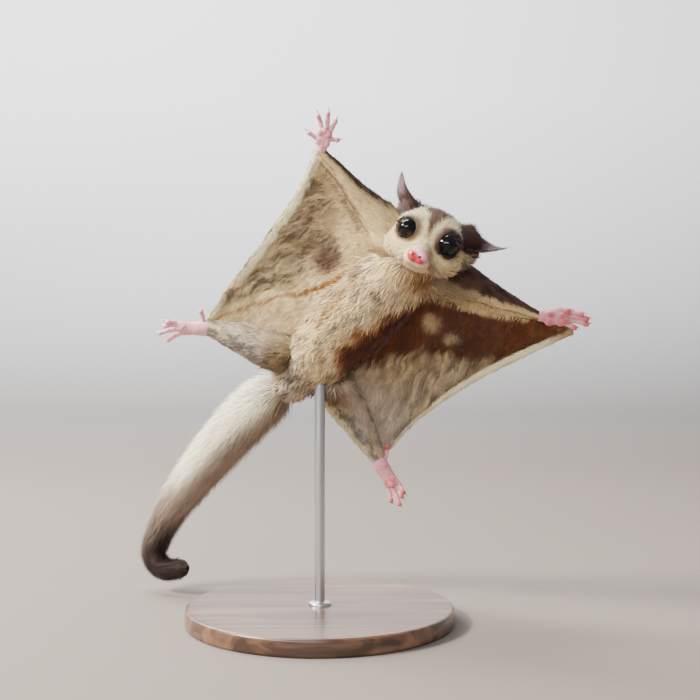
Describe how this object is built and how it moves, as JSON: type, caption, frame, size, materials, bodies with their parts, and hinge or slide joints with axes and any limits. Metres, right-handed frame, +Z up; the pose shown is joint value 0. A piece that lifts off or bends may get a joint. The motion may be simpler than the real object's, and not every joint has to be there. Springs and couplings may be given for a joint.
{
  "type": "sugar glider",
  "caption": "Life-size sugar glider in full glide, gliding membranes spread between its limbs, long bushy tail, on a plain round display stand.",
  "frame": {"origin": "middle of the stand base's underside", "axes": "+Z up, +Y away from the viewer who sees the belly and face, +X to that viewer's right"},
  "size_m": [0.2123, 0.144, 0.224],
  "materials": {
    "fur_cream": "matt short fur",
    "fur_grey": "matt short fur",
    "fur_membrane": "matt short fur",
    "fur_tail": "long soft fur",
    "fur_tail_dark": "long soft fur",
    "skin_pink": "bare soft skin",
    "skin_ear": "thin bare skin",
    "eye_black": "wet gloss",
    "stand_wood": "satin oiled",
    "stand_steel": "brushed"
  },
  "bodies": {
    "root": {"head": "fur_cream", "nose": "skin_pink", "ear_right": "skin_ear", "ear_left": "skin_ear", "eye_right": "eye_black", "eye_left": "eye_black", "neck": "fur_cream", "torso": "fur_cream", "upper_arm_right": "fur_grey", "forearm_right": "fur_grey", "hand_right": "skin_pink", "thigh_right": "fur_grey", "shin_right": "fur_grey", "foot_right": "skin_pink", "patagium_right": "fur_membrane", "upper_arm_left": "fur_grey", "forearm_left": "fur_grey", "hand_left": "skin_pink", "thigh_left": "fur_grey", "shin_left": "fur_grey", "foot_left": "skin_pink", "patagium_left": "fur_membrane", "tail_1": "fur_tail", "tail_2": "fur_tail", "tail_3": "fur_tail", "tail_4": "fur_tail_dark", "stand_base": "stand_wood", "stand_rod": "stand_steel"}
  },
  "joints": []
}
